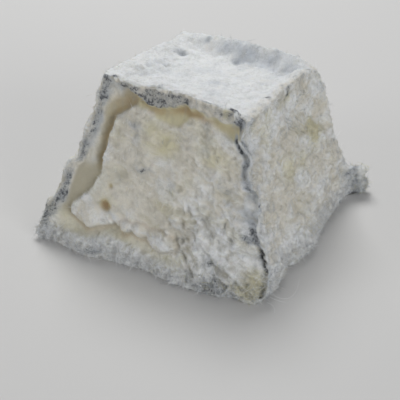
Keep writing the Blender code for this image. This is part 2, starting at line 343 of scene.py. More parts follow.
rightMarks = {
    "yellow": (
        (-6, 29.5, 5.5, 0.8), (4, 28, 4, 0.6), (14.5, 31.5, 5, 0.8), (16, 35.5, 3, 0.6),
        (-17, 44, 4, 0.6), (-12, 49, 3, 0.5), (0, 14, 7, 0.35), (25, 20, 5, 0.3),
    ),
    "ash": (
        (-15, 38, 3, 0.35), (-3, 43, 4, 0.4), (9, 46.5, 4, 0.4), (-22, 24, 3, 0.35),
        (31, 12, 4, 0.4), (-28, 14, 3, 0.5), (-34, 9, 2.5, 0.6), (20, 8, 4, 0.3),
    ),
    "dark": ((13, 47, 0.5, 0.6), (30, 24, 0.5, 0.5), (-33, 8, 0.5, 0.7)),
}
topMarks = {
    "dimples": (
        (-16, -3, 1.8, 0.9), (-17, 13, 1.8, 0.8), (-13, 23.5, 1.7, 0.9), (0.5, 17.5, 1.5, 0.7),
    ),
    "blue": (
        (9, 20, 6, 0.5), (18, 18.5, 5, 0.5), (2, 22, 5, 0.45), (-6, 22, 4, 0.4),
        (5, -4, 3, 0.3), (-8, -8, 3, 0.25),
    ),
}


def creases(lumpiness):
    # How far down between the lumps a place is, 0 on their crowns.
    return np.clip((0.95 - lumpiness) * 1.3, 0, 1)


def edgeRound(inside):
    # The quarter round at the plate's edge, 1 at the very edge and 0 a radius further in.
    share = 1 - np.clip(inside / plate["edgeRadius"], 0, 1)
    return 1 - np.sqrt(1 - share**2)


def gullyDepth(x, up, fromLeft, fromTop, fromFoot, beyond, wander, above, rollTop):
    # The hollow round the plate slopes down from the rims, and is deepest where the plate's edge
    # stands.
    outside = np.clip(beyond, 0, None) + 0.25
    lipWidth = alongProfile(plate["lipWidths"], x) + 1.6 * wander
    leftGap = np.clip(fromLeft - plate["rimWidth"] + wander, 0, None)
    topGap = np.clip(fromTop - lipWidth, 0, None)
    leftShare, topShare = (gap / (gap + outside) for gap in (leftGap, topGap))
    higher = rise(up, plate["creaseTop"], 6)
    deep = plate["creaseDepth"] + (plate["channelDepth"] - plate["creaseDepth"]) * higher
    deep = deep * (1 - 0.45 * rise(x, 6, 8) * rise(up, 30, 10)) * (1 - 0.25 * above)
    left = deep * (0.16 * smoothStep(leftShare * 4) + 0.84 * leftShare**1.3)
    left += plate["creaseGroove"] * bump(beyond - 1.5, 1.2) * leftShare * higher
    shelf = plate["depth"] + plate["edgeDrops"][1]
    top = deep - np.clip(deep - shelf, 0, None) * topShare**1.2 * above
    top *= rise(fromTop - lipWidth, -0.6, plate["lipFall"])
    # The roll's upper side slopes outwards from the foot of the plate's edge.
    under = plate["rollCrease"] * (1 - 0.5 * rise(x, -15, 12))
    under = deep + (under - deep) * fall(up, 15, 5) * rise(x, -26, 6)
    foot = under * smoothStep((fromFoot - rollTop + 3.4 + 0.5 * wander) / 4.6)
    return np.minimum.reduce((left, top, foot)), lipWidth, leftShare


def frontRelief(x, up, fromLeft, fromRight, fromTop, fromFoot):
    flat = np.stack((x, up, 0 * x), 1)
    wanderX, wanderUp = (
        0.5 * grain(flat, 4.5, seed) + 0.22 * grain(flat, 1.7, seed + 1) for seed in (1, 3)
    )
    beyond = outlineDistance(plate["outline"], x + wanderX, up + wanderUp)
    inside = np.clip(-beyond, 0, None)
    # Which border the plate's edge belongs to: the left gully, the rim above or the roll below.
    above = rise(up, 43, 5) * rise(x, -14, 4)
    below = fall(up, 14, 5)
    atLeft = (1 - above) * (1 - below)
    rollTop = alongProfile(plate["rollHeights"], x)
    gaps = (fromLeft, fromTop, fromFoot)
    gully, lipWidth, leftShare = gullyDepth(x, up, *gaps, beyond, 0.7 * wanderX, above, rollTop)
    edge, drop = (
        sum(weight * size for weight, size in zip((atLeft, above, below), plate[name]))
        for name in ("edges", "edgeDrops")
    )
    onPlate = fall(beyond, edge, 2 * edge)
    offPlate = 1 - onPlate
    fromLip = fromTop - lipWidth
    raised = plate["depth"] + drop * edgeRound(inside)
    raised -= plate["pillow"] * smoothStep(inside / plate["pillowRun"])
    # The plate is marbled, and flaky but for its lower left.
    marbled = np.stack((x * 0.42, up * 1.1 + 0.35 * x, 0 * x), 1)
    marbled += 1.2 * np.stack((wanderUp, wanderX, wanderX), 1)
    flakes = folds(marbled, 2.4, 53) * (1 - 0.75 * bump(np.hypot(x + 20, up - 18), 9))
    raised -= onPlate * (0.6 * grain(flat, 8.5, 5) + 0.45 * grain(flat, 4.2, 6) + 0.38 * flakes)
    depth = gully + (raised - gully) * onPlate
    near = plate["channelDepth"] * smoothStep(fromRight / 8)
    lip = plate["channelDepth"] * rise(fromLip, -1.2, 2.2)
    depth = np.minimum.reduce((depth, near, lip))
    beads = spots(x + wanderX, up + wanderUp, plate["beads"])
    rings = rise(beads, 0.06, 0.2) * fall(beads, 0.7, 0.4) * onPlate
    lobe = spots(x, up, (plate["lobe"],))
    pits = spots(x, up, plate["pits"])
    depth = depth - lobe - beads + 0.5 * rings + pits
    # The roll along the foot bulges and is knobbly with mould.
    onRoll = fall(fromFoot, rollTop + 1.2, 6.6)
    depth -= plate["rollBulge"] * onRoll * smoothStep(fromLeft / 6) * smoothStep(fromRight / 6)
    footing = fall(fromFoot, rollTop - 0.4, 3.6)
    knobs = clumpsOnClumps(flat, (2.9, 7, (1, 1.2)), (1.6, 8, (1, 1.3)))
    depth -= footing * (1.35 * (knobs - 0.9) + 0.18 * grain(flat, 0.9, 9, (1, 3)))
    # The crack beside the near ridge's foot, and the shallow zigzag above it.
    crackLine = alongProfile(nearLine, up) + 0.35 * grain(flat, 3, 10) + 0.25 * grain(flat, 1.4, 11)
    fromCrack = fromRight - crackLine
    low = rise(up, 1, 3) * fall(up, 18.5, 4)
    crackWear = np.maximum(rise(up, 8, 3), bump(up - 3.2, 1.8))
    crack = low * bump(fromCrack, 0.36) * (0.35 + 0.65 * crackWear)
    zigzag = rise(up, 15, 5) * bump(fromCrack, 1.1)
    depth = depth + 3.2 * crack + 0.9 * low * bump(fromRight - 3.2, 2.2) + 0.8 * zigzag
    # Folds of mould run down to the right over the plate's lower right.
    cos, sin = math.cos(foldSlope), math.sin(foldSlope)
    along = np.stack((x * cos - up * sin, x * sin + up * cos, 0 * x), 1) + warp(flat, 1.5)
    wrinkles = folds(along, 2.5, 12, (2.3, 1))
    woolly = clumpsOnClumps(along, (2.8, 13, (1.6, 1)), (1.5, 18, (1.3, 1)))
    fineWrinkles = folds(along, 1.3, 19, (2.6, 1))
    wrinkled = rise(x, -2, 14) * fall(up, 31, 12) * smoothStep(fromFoot / 4)
    depth -= wrinkled * (0.7 * wrinkles + 0.4 * fineWrinkles + 0.8 * woolly)

    # Bands of ash under the lip, along both ridges and the foot, and patches of it.
    inGully = offPlate * smoothStep(gully / 1.4)
    patchy, blotchy = grain(flat, 4, 15), grain(flat, 3, 20)
    underRim = rise(fromTop, 0.5, 0.6) * fall(fromTop, lipWidth + 0.7, 1) * rise(x, -21, 4)
    underRim *= 0.42 + 0.42 * fall(x, 8, 5) + 0.25 * patchy
    leftBand = fall(fromLeft, 6, 3.6) * (0.6 + 0.4 * patchy)
    leftBand = leftBand * (0.35 + 0.65 * rise(fromLeft, 0.4, 1.6)) * (0.3 + 0.7 * rise(up, 3, 4))
    nearBand = rise(up, 14, 4) * bump(fromCrack + 0.1, 2.4) * (0.5 + 0.7 * blotchy)
    footEdge = fall(fromFoot, 2.6, 2.2) * (0.05 + 0.5 * grain(flat, 7, 16))
    smears = 0.9 * bump(x + 18, 5) + bump(x - 25, 6)
    footEdge += 0.75 * bump(fromFoot - 2, 2) * smears
    corner = 0.6 * bump(np.hypot(x - 25.2, up - 51.5), 3.2)
    lowPatch = 0.5 * bump(np.hypot((fromRight - 2.6) * 1.2, (up - 20.5) * 0.5), 2)
    bands = np.maximum.reduce((underRim, leftBand, nearBand, footEdge))
    # The gully's slope is grey and mottled high up, which is painted shade, and bare and tan low down and
    # beside the plate, where the lower slope also gets painted shade through the hollow mask.
    upper = rise(up, 25, 6)
    besidePlate = fall(beyond, 4.4 + 2 * rise(up, 38, 8), 3)
    slope = smoothStep(leftShare * 1.7 - 0.15) * np.maximum(besidePlate, 1 - upper)
    slope = atLeft * (0.12 + 0.88 * slope)
    slopeShade = atLeft * inGully * upper * (1 - besidePlate) * (0.55 + 0.45 * patchy)
    bare = inGully * (slope + 0.95 * above + below * (0.45 - 0.33 * rise(x, -25, 5)))
    lowSlope = atLeft * (1 - upper) * offPlate * rise(fromLeft, 3.4, 1.4)
    bare = np.maximum(bare * (1 - 0.8 * footing), 0.95 * lowSlope)
    hem = bump(inside, 2.4) * atLeft * onPlate
    # Brown shows in the creases, in the pits and on the gully's upper slope: partly the paste's own
    # colour, and partly painted shade deepening the creases.
    shown = 0.45 * bump(beyond - 1.1, 0.9) * (0.3 + 0.7 * upper) + 0.1 * upper * besidePlate
    leftCrease = offPlate * rise(gully, 2, 1.2) * atLeft * shown
    footCrease = 0.42 * (1 - 0.5 * onPlate) * bump(beyond - 0.5, 0.7) * below * fall(x, 8, 14)
    rimCrease = bump(fromLip - 1, 1.2) * rise(gully, 1, 1) * rise(x, -14, 4)
    rimCrease *= 0.5 + 0.25 * patchy
    warmSlope = 0.45 * inGully * spots(x, up, frontMarks["warm"])
    inPit = smoothStep(pits / 1.2)
    return depth, {
        "ash": bands * (1 - 0.95 * bare) + 0.38 * slopeShade + corner + lowPatch
        + spots(x, up, frontMarks["ash"]),
        # The crack is painted near black as painted shade in it; the spots are the rind's own dark
        # flecks.
        "dark": 1.4 * crack + spots(x, up, frontMarks["dark"]),
        "tan": np.maximum(bare, inPit) + 0.4 * above * onPlate * edgeRound(inside),
        "crease": np.maximum.reduce((
            leftCrease, warmSlope, footCrease, rimCrease, 0.8 * inPit, 0.25 * rings
        )),
        # The white is mostly the mould's own; the crowns of the woolly clumps and flakes get a painted
        # highlight.
        "white": 0.12 + 0.4 * wrinkled + 1.2 * footing + 0.4 * lobe + 0.6 * fall(fromTop, 1.4, 1.2)
        + 0.3 * rise(x, 8, 10) + 0.2 * beads + 0.8 * fall(fromRight, 5, 3) + 0.5 * hem
        + (0.3 * below + 0.5 * onRoll) * offPlate + 0.6 * fall(fromLeft, 1.6, 1.2)
        + 0.4 * wrinkled * (woolly - 0.8) + 0.25 * flakes * onPlate + 0.3 * grain(flat, 9, 17),
        "yellow": spots(x, up, frontMarks["yellow"]) + 1.5 * bare * above + 1.2 * inPit
        + 0.5 * leftCrease + 0.3 * inGully
        + (0.12 + 0.3 * smoothStep(1.5 * grain(marbled, 5, 54))) * onPlate
        + 0.25 * below * offPlate * (1 - footing) * fall(x, 16, 6),
        "blue": 0.9 * leftBand + 1.1 * slopeShade + 2 * nearBand + 0.5 * bump(fromRight, 2.5)
        + 0.12 * footing + 0.55 * smoothStep(grain(marbled, 4.5, 51)) * onPlate,
        "downy": 0.18 + 0.8 * footing + 0.2 * wrinkled + 0.6 * fall(fromRight, 4, 3)
        + 0.5 * fall(fromLeft, 4, 2) + 0.4 * underRim - bare - crack,
        "smooth": np.maximum(bare, onPlate * bump(np.hypot(x + 20, up - 17), 9) * 0.9)
        + 0.4 * onPlate * (1 - wrinkled) * fall(x, 16, 16),
        # The hollow mask is painted shade: in the creases between knobs and wrinkles, in the gully, on
        # its lower slope and in a mottle over the plate.
        "hollow": 0.15 * footing * creases(knobs)
        + wrinkled * creases(woolly + 0.4 * wrinkles + 0.2 * fineWrinkles)
        + 0.5 * inGully * (1 - below) * smoothStep(1.5 * grain(flat, 1.8, 55, (0.7, 1.6)))
        + 0.5 * onPlate * smoothStep(1.6 * grain(marbled, 2.4, 52) - 0.3)
        + lowSlope * (1.1 + 0.3 * patchy) * (1 - 0.5 * bump(beyond, 1.6)),
    }


def woollyFace(flat, gaps, broad, fine):
    # What the faces under thick mould share. Inner is 0 at their borders and 1 well inside them.
    inner = smoothStep(np.minimum.reduce(gaps) / rind["sagRim"])
    woolly = clumpsOnClumps(flat + warp(flat, 2), broad, fine)
    footing = fall(gaps[3], 9, 6)
    # The hollow mask paints shade into the creases between the clumps.
    masks = {"downy": 0.7 + 0.3 * footing, "smooth": 0.25 * inner, "hollow": 0.7 * creases(woolly)}
    return inner, woolly, footing, masks


def rightRelief(y, up, fromNear, fromRight, fromTop, fromFoot):
    flat = np.stack((y, up, np.full_like(y, 40)), 1)
    gaps = (fromNear, fromRight, fromTop, fromFoot)
    broad, fine = (3, 42, (1.7, 1)), (1.5, 43, (1.6, 1))
    inner, woolly, footing, masks = woollyFace(flat, gaps, broad, fine)
    (ax, ay), (bx, by) = fold["start"], fold["end"]
    length = math.hypot(bx - ax, by - ay)
    above = ((bx - ax) * (up - ay) - (by - ay) * (y - ax)) / length + 1.2 * grain(flat, 7, 12)
    ledge = rise(y, -6, 10)
    step = fold["step"] * ledge * smoothStep(above / fold["width"]) * fall(above, 14, 10)
    lumps = 0.6 * grain(flat, 10, 40) + 0.65 * grain(flat, 4.4, 41)
    uneven = 0.85 + 0.45 * grain(flat, 9, 49) + 0.35 * footing
    depth = (0.4 + step) * inner - inner * lumps - uneven * (woolly - 0.9) * smoothStep(fromTop / 4)
    # Beside the fold's step the rind is painted olive-yellow as painted shade.
    underFoldShade = bump(above - 1, 2.2) * ledge * inner
    patchy = grain(flat, 4.5, 14)
    topLine = bump(fromTop - 1.2, 2.4) * (0.34 + 0.5 * patchy)
    rightBand = fall(fromRight, 5, 4) * (0.12 + 0.3 * patchy)
    footEdge = fall(fromFoot, 3, 2.2) * (0.1 + 0.4 * grain(flat, 5, 16))
    nearBand = fall(fromNear, 2.8, 1.8) * (0.25 + 0.6 * patchy) * rise(up, 12, 6)
    bands = np.maximum.reduce((topLine, rightBand, footEdge, nearBand))
    return depth, masks | {
        "ash": bands + spots(y, up, rightMarks["ash"]),
        "dark": spots(y, up, rightMarks["dark"]),
        # The crest of the fold's ledge and the crowns of the clumps are painted lighter as a painted
        # highlight; the rest of the white is the mould's own.
        "white": 0.36 + 0.8 * fall(fromFoot, 12, 8) + 0.5 * bump(above + 1.6, 1.6) * ledge
        + 0.5 * fall(fromNear, 10, 9) + 0.3 * rise(up, 36, 10) + 0.5 * grain(flat, 8, 17)
        + 0.4 * (woolly - 0.8),
        "yellow": spots(y, up, rightMarks["yellow"]) + 0.5 * underFoldShade
        + 0.5 * bump(fromTop - 3, 2.2) * (0.5 + patchy),
        "blue": 0.25 * fall(fromRight, 9, 8) + 0.4 * smoothStep(grain(flat, 5.5, 51))
        + 0.65 * bump(fromNear, 6) + 0.3 * fall(fromFoot, 8, 7),
    }


def plainRelief(across, up, fromStart, fromEnd, fromTop, fromFoot):
    # The two faces turned away sag like the others, with soft lumps and no gully.
    flat = np.stack((across, up, np.full_like(across, 90)), 1)
    gaps = (fromStart, fromEnd, fromTop, fromFoot)
    broad, fine = (3, 44, (1.5, 1)), (1.5, 45, (1.4, 1))
    inner, woolly, footing, masks = woollyFace(flat, gaps, broad, fine)
    lumps = grain(flat, 11, 18)
    uneven = 0.5 + 0.4 * grain(flat, 9, 49) + 0.35 * footing
    depth = (rind["sag"] - 0.7 * lumps - 0.35 * grain(flat, 4.4, 19)) * inner
    depth -= uneven * (woolly - 0.9) * smoothStep(fromTop / 4)
    sideEdge = fall(np.minimum(fromStart, fromEnd), 3.4, 2.4)
    edges = np.maximum.reduce((sideEdge, fall(fromFoot, 3, 2.2), bump(fromTop - 1.8, 1.8)))
    bands = edges * (0.2 + 0.5 * grain(flat, 5, 20))
    return depth, masks | {
        "ash": bands + 0.5 * smoothStep(1.6 * grain(flat, 6, 21) - 0.5),
        "tan": 0.3 * smoothStep(-2 * lumps - 0.9) * inner,
        # The white is mostly the mould's own; the crowns of the clumps get a painted highlight.
        "white": 0.35 + 0.35 * footing + 0.45 * grain(flat, 9, 23) + 0.4 * (woolly - 0.8),
        "yellow": 0.6 * smoothStep(1.8 * grain(flat, 8, 22) - 0.5),
        "blue": 0.4 * bands + 0.3 * smoothStep(1.5 * grain(flat, 12, 24)),
    }


def topRelief(across, back, fromLeft, fromRight, fromBack, fromFront):
    flat = np.stack((across, back, np.full_like(across, 140)), 1)
    level = dish["front"] + (dish["back"] - dish["front"]) * rise(back, dish["start"], dish["length"])
    wander = 1.3 * grain(flat, 6, 23)
    nearest = np.minimum.reduce((fromLeft * 0.8, fromRight, fromBack * 0.9, fromFront)) + wander
    inner = rise(nearest, 0.6, dish["rim"])
    border = fall(nearest, 13, 8)
    dimples = spots(across, back, topMarks["dimples"])
    depth = level * inner + 1.5 * dimples
    depth -= (0.25 + 0.6 * border) * grain(flat, 7, 24)
    depth -= 0.95 * border * (clumps(flat, 4.2, 28) - 0.6)
    depth -= (0.25 + 0.3 * border) * (clumps(flat, 1.9, 48) - 0.6)
    scratches = grain(flat, 0.8, 25, (6, 1)) * bump(np.hypot(across - 8, back + 14), 9)
    depth -= 0.16 * scratches
    patchy = grain(flat, 3, 26)
    rightLine = bump(fromRight - 1.2, 1.4) * (0.16 + 0.5 * patchy)
    frontLine = bump(fromFront - 0.4, 1.6) * (0.22 + 0.7 * patchy)
    # The inner wall of the back rim faces away from the light and gets a painted grey-blue shade.
    shadedBackWall = fall(fromBack, 8, 3) * rise(fromBack, 1.5, 2) * rise(across, -16, 8)
    return depth, {
        "ash": np.maximum(rightLine, frontLine) + 0.55 * dimples + 0.08 * shadedBackWall,
        "white": 1 - 0.5 * fall(fromRight, 4, 4),
        "yellow": 0.12 * fall(fromLeft, 5, 5) + 0.1 * fall(fromFront, 6, 6),
        "blue": dimples + spots(across, back, topMarks["blue"]) + 0.1 * shadedBackWall + 0.15
        + 0.3 * grain(flat, 6, 29),
        "downy": 0.12 + 0.25 * (1 - inner),
        "smooth": 0.5 + 0.3 * inner,
        # Painted shade, in patches round the rims.
        "hollow": 0.35 * smoothStep(grain(flat, 2.2, 39) - 0.1) * border,
    }


# Axis and side of the cube, then the axes that run across and up the face, and its relief.
faces = (
    (1, -1, 0, 2, frontRelief),
    (0, 1, 1, 2, rightRelief),
    (1, 1, 0, 2, plainRelief),
    (0, -1, 1, 2, plainRelief),
    (2, 1, 0, 1, topRelief),
)
maskNames = ("ash", "dark", "tan", "crease", "white", "yellow", "blue", "downy", "smooth", "hollow")


def faceRelief(cube, place):
    share = (cube + 1) / 2
    total = np.zeros_like(place)
    masks = {name: np.zeros(len(place)) for name in maskNames}
    masks["white"] += 0.5
    masks["downy"] += 0.5
    for axis, side, across, up, relief in faces:
        onFace = cube[:, axis] == side
        points, shares = place[onFace], share[onFace]
        normal = np.linalg.svd(points - points.mean(0), full_matrices=False)[2][2]
        normal *= np.sign(normal[axis] * side)
        upward = points[:, up] * (rind["slant"] if up == 2 else 1)
        width, height = np.ptp(points[:, across]) * rind["meanWidth"], np.ptp(upward)
        fromStart, fromFoot = shares[:, across] * width, shares[:, up] * height
        gaps = (fromStart, width - fromStart, height - fromFoot, fromFoot)
        depth, found = relief(points[:, across], upward, *gaps)
        # Every face meets its neighbours at its own border.
        depth *= smoothStep(np.minimum.reduce(gaps) / rind["borderBlend"])
        total[onFace] -= depth[:, None] * normal
        for name in maskNames:
            masks[name][onFace] = found.get(name, 0)
    return total, masks


def readAll(items, name, width=1, kind=float):
    # A property of all items, as one array.
    values = np.empty(len(items) * width, kind)
    items.foreach_get(name, values)
    return values.reshape(-1, width) if width > 1 else values


def vertexPlaces(mesh):
    return readAll(mesh.vertices, "co", 3)


def vertexNormals(mesh):
    return readAll(mesh.vertex_normals, "vector", 3, np.float32).astype(float)


def setPlaces(mesh, places):
    mesh.vertices.foreach_set("co", places.ravel())
    mesh.update()


def deselectAll():
    bpy.ops.object.select_all(action="DESELECT")


def useAlone(piece):
    deselectAll()
    piece.select_set(True)
    bpy.context.view_layer.objects.active = piece


def editAll():
    bpy.ops.object.mode_set(mode="EDIT")
    bpy.ops.mesh.select_all(action="SELECT")


def cubeGrid(name, cells):
    # A cube cut into an even grid. Its underside is dissolved into one face later, in dissolveUnderside.
    deselectAll()
    bpy.ops.mesh.primitive_cube_add(size=2)
    piece = bpy.context.active_object
    piece.name = piece.data.name = name
    editAll()
    bpy.ops.mesh.subdivide(number_cuts=cells // 2 - 1)
    bpy.ops.mesh.subdivide(number_cuts=1)
    bpy.ops.object.mode_set(mode="OBJECT")
    return piece


def layOutMap(mesh, cube):
    # Each face of the cube gets its own tile of the piece's map.
    tiles = {face[:2]: tile for face, tile in zip(faces, ((0, 0), (1, 0), (2, 0), (0, 1), (1, 1)))}
    tiles[(2, -1)] = (2, 1)
    corners = readAll(mesh.loops, "vertex_index", 1, int)
    sizes = readAll(mesh.polygons, "loop_total", 1, int)
    places = cube[corners]
    starts = np.concatenate(([0], np.cumsum(sizes)[:-1]))
    means = np.add.reduceat(places, starts) / sizes[:, None]
    owner = np.repeat(np.arange(len(sizes)), sizes)
    uv = np.zeros((len(corners), 2))
    margin = 0.012
    for (axis, side), (column, row) in tiles.items():
        mine = (np.abs(means[:, axis] - side) < 1e-6)[owner]
        across, up = [i for i in range(3) if i != axis]
        uv[mine, 0] = (column + margin + (1 - 2 * margin) * (places[mine, across] + 1) / 2) / 3
        uv[mine, 1] = (row + margin + (1 - 2 * margin) * (places[mine, up] + 1) / 2) / 2
    layer = mesh.uv_layers.active
    layer.name = "OFBake"
    layer.data.foreach_set("uv", uv.ravel())


def dissolveUnderside(piece):
    useAlone(piece)
    bpy.ops.object.mode_set(mode="EDIT")
    bpy.ops.mesh.select_all(action="DESELECT")
    bpy.ops.mesh.select_mode(type="FACE")
    bpy.ops.object.mode_set(mode="OBJECT")
    for face in piece.data.polygons:
        face.select = face.center.z < 1e-7 and face.normal.z < -0.9
    bpy.ops.object.mode_set(mode="EDIT")
    bpy.ops.mesh.dissolve_faces(use_verts=True)
    bpy.ops.object.mode_set(mode="OBJECT")


def roundRidges(piece, worn):
    # Smooths the shape near its ridges alone, and further where they are worn.
    for weights, passes in zip(worn, rind["wearPasses"]):
        group = piece.vertex_groups.new(name="ridges")
        for index, weight in enumerate(weights.tolist()):
            if weight > 0.02:
                group.add([index], weight, "REPLACE")
        rounding = piece.modifiers.new("rounding", "SMOOTH")
        rounding.factor = 0.5
        rounding.iterations = passes
        rounding.vertex_group = "ridges"
        useAlone(piece)
        bpy.ops.object.modifier_apply(modifier="rounding")
        piece.vertex_groups.clear()


def fineRelief(rest, masks, nearRidge):
    # Lumps and crumbs, outwards along the surface. Bare skin and smooth mould get less.
    rough = 1 - 0.8 * np.clip(masks["smooth"], 0, 1)
    lumps = 0.22 * grain(rest, 2.6, 31)
    crumbs = 0.22 * grain(rest, 1.3, 32) + 0.12 * grain(rest, 0.8, 33)
    # The rims of the top are worn smoother than the ridges, apart from the front one.
    upper = rise(rest[:, 2], 46, 4) * rise(rest[:, 1], -23, 4)
    crumble = rind["crumble"] + (rind["topCrumble"] - rind["crumble"]) * upper
    crumble += 0.35 * rise(rest[:, 2], 48, 3) * fall(rest[:, 1], -19, 3)
    ragged = crumble * nearRidge * (0.6 * grain(rest, 2.2, 34) + 0.4 * grain(rest, 1.1, 35))
    return lumps * (0.3 + 0.7 * rough) + crumbs * rough + ragged


def makeRind():
    piece = cubeGrid("goat_cheese_rind", rind["cells"])
    mesh = piece.data
    cube = np.round(vertexPlaces(mesh), 5)
    layOutMap(mesh, cube)
    rest = spreadOverCorners(cube)
    swell, ridgeGap, worn = ridgeSwell(rest)
    relief, masks = faceRelief(cube, rest)
    pulled, onEar, onNeck = earShift(rest)
    setPlaces(mesh, rest + swell + relief)
    roundRidges(piece, worn)
    setPlaces(mesh, vertexPlaces(mesh) + pulled)

    places, normals = vertexPlaces(mesh), vertexNormals(mesh)
    fine = fineRelief(rest, masks, bump(ridgeGap, rind["crumbleReach"]))
    fine += 1.1 * onEar * grain(places, 2.6, 36)
    masks["ash"] = masks["ash"] * (1 - 0.7 * onEar) + 0.15 * onEar + 0.4 * onNeck
    masks["white"] += 0.2 * onEar
    masks["yellow"] += 0.5 * onEar
    masks["blue"] = masks["blue"] + 0.1 * onEar + 0.6 * onNeck
    # The hollows of the fine relief get painted shade.
    hollow = np.clip(-fine / 0.35, 0, 1) * (1 - np.clip(masks["smooth"], 0, 1))
    masks["hollow"] = np.maximum(hollow, masks["hollow"])
    rising = smoothStep(rest[:, 2] / 1.2)
    places += (fine * (0.35 + 0.65 * rising))[:, None] * normals
    standing = cube[:, 2] == -1
    places[:, 2] = np.where(standing, 0, np.maximum(places[:, 2], rind["clearance"]))
    setPlaces(mesh, places * mm)
    for name, values in masks.items():
        layer = mesh.attributes.new(name, "FLOAT", "POINT")
        layer.data.foreach_set("value", np.clip(values, 0, 1))
    dissolveUnderside(piece)
    mesh.shade_smooth()
    return piece


def mathsOf(operation, turned=False):
    def combined(self, other):
        first, second = (other, self) if turned else (self, other)
        return self.tree.node("Math", {"operation": operation}, {0: first, 1: second})

    return combined


class Wire:
    # A socket's value. Sums on it add Math nodes.
    def __init__(self, tree, socket):
        self.tree = tree
        self.socket = socket

    __add__, __sub__, __mul__ = map(mathsOf, ("ADD", "SUBTRACT", "MULTIPLY"))
    __radd__, __rsub__, __rmul__ = (mathsOf(name, True) for name in ("ADD", "SUBTRACT", "MULTIPLY"))


class Tree:
    # A material's nodes.
    def __init__(self, name):
        self.material = bpy.data.materials.new(name)
        self.material.use_nodes = True
        self.nodes = self.material.node_tree.nodes
        self.links = self.material.node_tree.links
        self.shader = self.nodes["Principled BSDF"]

    def plug(self, socket, value):
        if isinstance(value, Wire):
            self.links.new(value.socket, socket)
        else:
            socket.default_value = value

    def shade(self, sockets):
        for name, value in sockets.items():
            self.plug(self.shader.inputs[name], value)

    def node(self, kind, settings, sockets, output=0):
        made = self.nodes.new("ShaderNode" + kind)
        for name, value in settings.items():
            setattr(made, name, value)
        for name, value in sockets.items():
            self.plug(made.inputs[name], value)
        return Wire(self, made.outputs[output])

    def mask(self, name):
        return self.node("Attribute", {"attribute_name": name}, {}, "Fac")

    def clouds(self, place, scale, detail, roughness, distortion=0):
        sockets = {"Vector": place, "Scale": scale, "Detail": detail, "Roughness": roughness}
        return self.node("TexNoise", {}, sockets | {"Distortion": distortion}, "Fac")

    def step(self, value, low, high):
        # 0 below low, 1 above high, smooth between.
        settings = {"interpolation_type": "SMOOTHSTEP", "clamp": True}
        return self.node("MapRange", settings, {"Value": value, "From Min": low, "From Max": high})

    def blend(self, factor, first, second):
        settings = {"data_type": "RGBA", "clamp_factor": True}
        return self.node("Mix", settings, {0: factor, 6: first, 7: second}, 2)


rindColours = {
    "cream": (0.715, 0.685, 0.605, 1),
    "white": (0.83, 0.845, 0.85, 1),
    "yellow": (0.64, 0.60, 0.40, 1),
    "blue": (0.49, 0.525, 0.57, 1),
    "shade": (0.46, 0.46, 0.43, 1),
    "tan": (0.43, 0.39, 0.285, 1),
    "brownAndShade": (0.32, 0.20, 0.085, 1),
    "hollowShade": (0.40, 0.375, 0.30, 1),
    "ash": (0.06, 0.063, 0.075, 1),
    "dark": (0.02, 0.02, 0.022, 1),
    "greyAsh": (0.30, 0.32, 0.335, 1),
}

# Fineness, detail, roughness and distortion of the noises, from blotches to fur.
rindClouds = {
    "broad": (130, 3, 0.55),
    "mottle": (420, 4, 0.6),
    "fleck": (1300, 4, 0.7),
    "fur": (2600, 2, 0.6),
    "streaks": (800, 4, 0.7, 1.6),
}


def rindMaterial():
    tree = Tree("ash_rind")
    colour = rindColours
    place = tree.node("TexCoord", {}, {}, "Object")
    # The mottling runs a little longer from front to back.
    place = tree.node("VectorMath", {"operation": "MULTIPLY"}, {0: place, 1: (1, 0.62, 1)})
    made = {name: tree.clouds(place, *settings) for name, settings in rindClouds.items()}
    broad, mottle, fleck, fur = (made[name] for name in ("broad", "mottle", "fleck", "fur"))
    mouldy = tree.step(tree.mask("white") + (mottle - 0.5) * 1.3 + (broad - 0.5) * 0.8, 0.1, 1)
    skin = tree.blend(mouldy, colour["cream"], colour["white"])
    shaded = tree.step(fur * 0.35 + fleck * 0.25 + mottle * 0.4, 0.46, 0.62)
    skin = tree.blend(shaded * 0.36, skin, colour["shade"])
    # Each mask, with its noise and how much of it, the range that fades it in, and its strength.
    for name, clouds, share, low, high, strength in (
        ("tan", broad, 0.4, 0, 1, 0.9),
        ("yellow", mottle, 0.7, 0.1, 1.1, 0.9),
        ("blue", mottle, 0.7, 0.05, 1.2, 0.8),
    ):
        cover = tree.step(tree.mask(name) + (clouds - 0.5) * share, low, high)
        skin = tree.blend(cover * strength, skin, colour[name])
    # The brown in the creases is partly the paste's own colour and partly painted shade.
    skin = tree.blend(tree.mask("crease") * (0.75 + mottle * 0.4), skin, colour["brownAndShade"])
    # Painted shade darkens the hollows towards olive.
    skin = tree.blend(tree.mask("hollow") * 0.62, skin, colour["hollowShade"])
    # Ash lies under the mould as a fine grey mottle, and shows black in flecks where it is thickest.
    ashCover = tree.step(tree.mask("ash") + (mottle - 0.5) * 0.9, 0.1, 0.9)
    skin = tree.blend(ashCover * (0.3 + mottle * 0.65), skin, colour["greyAsh"])
    clustered = made["streaks"] * 0.75 + fur * 0.25 + ashCover * 0.12 + (mottle - 0.5) * 0.5
    flecked = tree.step(clustered, 0.58, 0.72) * tree.step(ashCover, 0.45, 0.85)
    skin = tree.blend(flecked * 0.85, skin, colour["ash"])
    skin = tree.blend(tree.mask("dark"), skin, colour["dark"])
    relief = fur * 0.5 + fleck + mottle * 0.8
    bumps = {"Strength": 0.8, "Distance": 0.35 * mm, "Height": relief}
    tree.shade({
        "Base Color": skin,
        "Roughness": 0.9 - tree.mask("tan") * 0.35 + (fleck - 0.5) * 0.1,
        "Normal": tree.node("Bump", {}, bumps, "Normal"),
        "Specular IOR Level": 0.25,
        "Subsurface Weight": 0.1,
        "Subsurface Radius": (1, 0.8, 0.5),
        "Subsurface Scale": 1.5 * mm,
    })
    return tree.material


def downMaterial(name, colour):
    tree = Tree(name)
    tree.shade({"Base Color": colour, "Roughness": 0.8, "Specular IOR Level": 0.2})
    return tree.material


